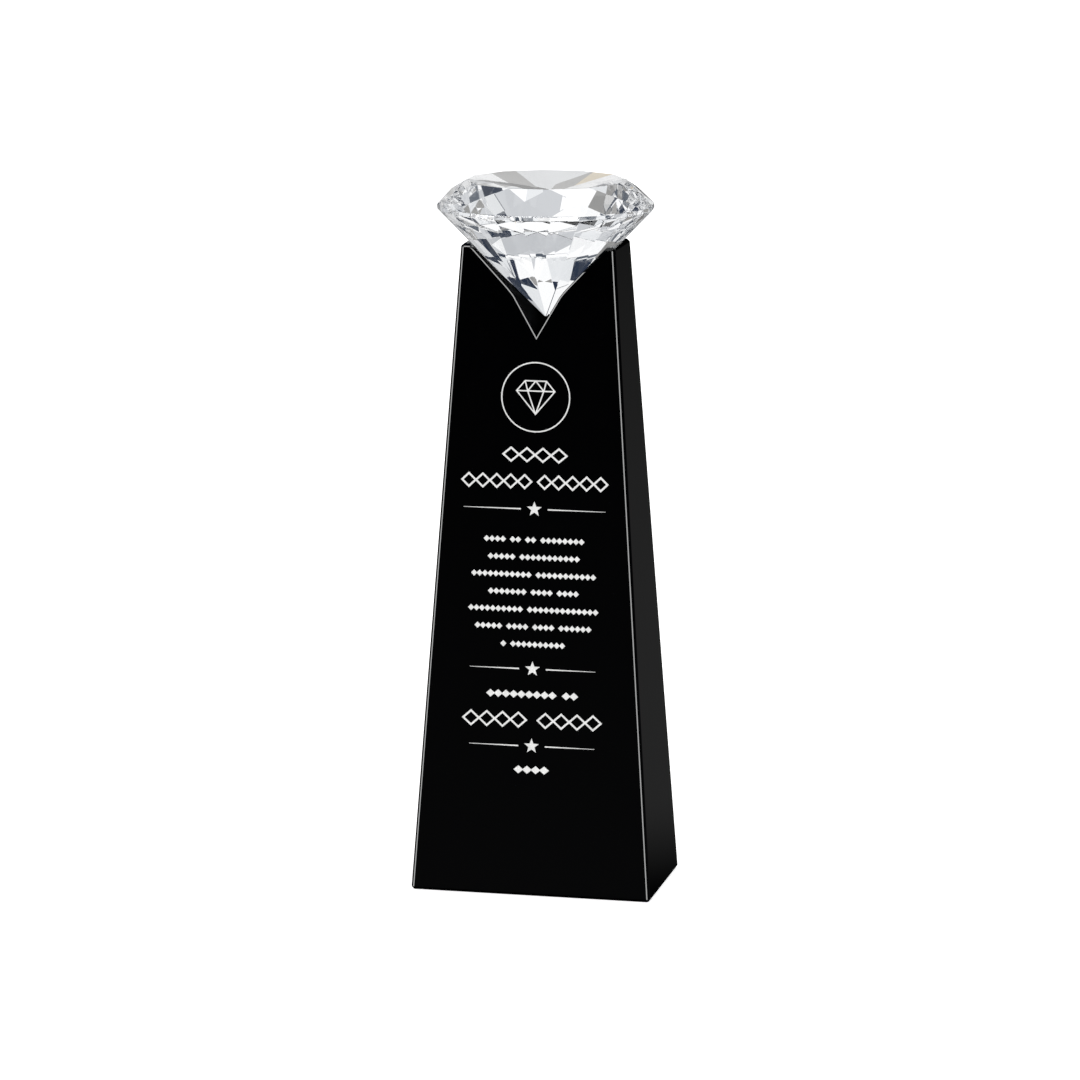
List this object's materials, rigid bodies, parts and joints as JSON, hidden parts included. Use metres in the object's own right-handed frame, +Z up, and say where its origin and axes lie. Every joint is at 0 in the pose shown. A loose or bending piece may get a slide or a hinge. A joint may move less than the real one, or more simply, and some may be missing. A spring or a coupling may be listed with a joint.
{
  "type": "crystal award",
  "caption": "Tapered black crystal tower holding a clear faceted crystal diamond in a V notch, with white-filled etched marks on its front face.",
  "frame": {"origin": "centre of the base, on the surface that the award stands on", "axes": "+Z up along the tower, +X to the right of the marked face seen from the front, marked front face toward -Y"},
  "size_m": [0.0682, 0.06, 0.1985],
  "materials": {
    "black_crystal": "optically polished, opaque black",
    "clear_crystal": "optically polished, clear",
    "adhesive": "clear cured film",
    "white_paint": "matt paint in a sandblasted recess"
  },
  "bodies": {
    "root": {"citation_1_word_1_fill": "white_paint", "citation_1_word_2_fill": "white_paint", "citation_1_word_3_fill": "white_paint", "citation_1_word_4_fill": "white_paint", "citation_2_word_1_fill": "white_paint", "citation_2_word_2_fill": "white_paint", "citation_3_word_1_fill": "white_paint", "citation_3_word_2_fill": "white_paint", "citation_4_word_1_fill": "white_paint", "citation_4_word_2_fill": "white_paint", "citation_4_word_3_fill": "white_paint", "citation_5_word_1_fill": "white_paint", "citation_5_word_2_fill": "white_paint", "citation_6_word_1_fill": "white_paint", "citation_6_word_2_fill": "white_paint", "citation_6_word_3_fill": "white_paint", "citation_6_word_4_fill": "white_paint", "citation_7_word_1_fill": "white_paint", "citation_7_word_2_fill": "white_paint", "date_word_1_fill": "white_paint", "diamond": "clear_crystal", "emblem_fill": "white_paint", "glue_film_left": "adhesive", "glue_film_right": "adhesive", "presented_word_1_fill": "white_paint", "presented_word_2_fill": "white_paint", "recipient_word_1_fill": "white_paint", "recipient_word_2_fill": "white_paint", "ring_fill": "white_paint", "rule_1_left_fill": "white_paint", "rule_1_right_fill": "white_paint", "rule_2_left_fill": "white_paint", "rule_2_right_fill": "white_paint", "rule_3_left_fill": "white_paint", "rule_3_right_fill": "white_paint", "star_1_fill": "white_paint", "star_2_fill": "white_paint", "star_3_fill": "white_paint", "title_lower_word_1_fill": "white_paint", "title_lower_word_2_fill": "white_paint", "title_upper_word_1_fill": "white_paint", "tower": "black_crystal"}
  },
  "joints": []
}
